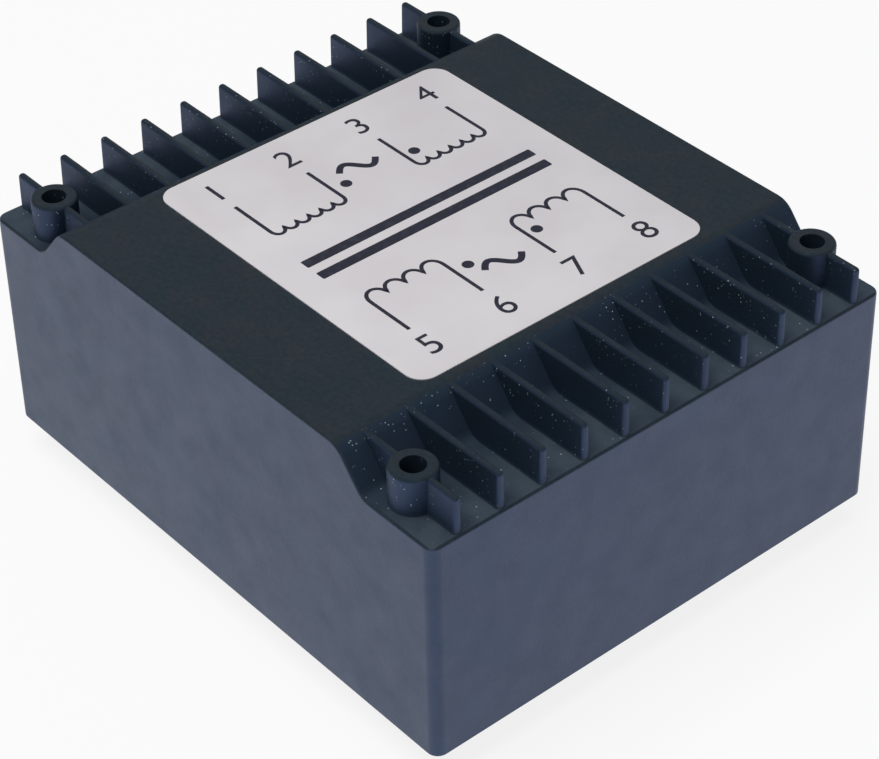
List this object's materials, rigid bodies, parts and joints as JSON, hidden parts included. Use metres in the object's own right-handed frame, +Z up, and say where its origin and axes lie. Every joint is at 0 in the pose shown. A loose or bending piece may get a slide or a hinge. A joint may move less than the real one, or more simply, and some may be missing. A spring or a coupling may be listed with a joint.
{
  "type": "encapsulated pcb transformer",
  "caption": "Flat potted transformer in a moulded housing, with finned terraces along both ends, corner screw bosses, a roof label and solder pins below.",
  "frame": {"origin": "middle of the housing's rim, on the plane of the circuit board", "axes": "+X along the housing's length towards the secondary terrace, +Y towards the rear coil, +Z up from the board through the roof"},
  "size_m": [0.068, 0.057, 0.0334],
  "materials": {
    "moulded_case": "fine moulded grain, self-extinguishing glass-filled plastic",
    "label_film": "satin coated, printed in dark ink",
    "potting_resin": "cast, slightly glossy",
    "core_steel": "varnished electrical sheet",
    "former_plastic": "moulded, natural colour",
    "copper_wire": "enamelled copper",
    "winding_tape": "polyester film tape",
    "tinned_pin": "bright tin plating"
  },
  "bodies": {
    "root": {"case": "moulded_case", "label": "label_film", "potting_resin": "potting_resin", "core_u_laminations": "core_steel", "core_i_laminations": "core_steel", "coil_former_front": "former_plastic", "coil_former_rear": "former_plastic", "primary_winding_front": "copper_wire", "primary_winding_rear": "copper_wire", "secondary_winding_front": "copper_wire", "secondary_winding_rear": "copper_wire", "primary_tape_front": "winding_tape", "primary_tape_rear": "winding_tape", "secondary_tape_front": "winding_tape", "secondary_tape_rear": "winding_tape", "pin_1": "tinned_pin", "pin_2": "tinned_pin", "pin_3": "tinned_pin", "pin_4": "tinned_pin", "pin_5": "tinned_pin", "pin_6": "tinned_pin", "pin_7": "tinned_pin", "pin_8": "tinned_pin"}
  },
  "joints": []
}
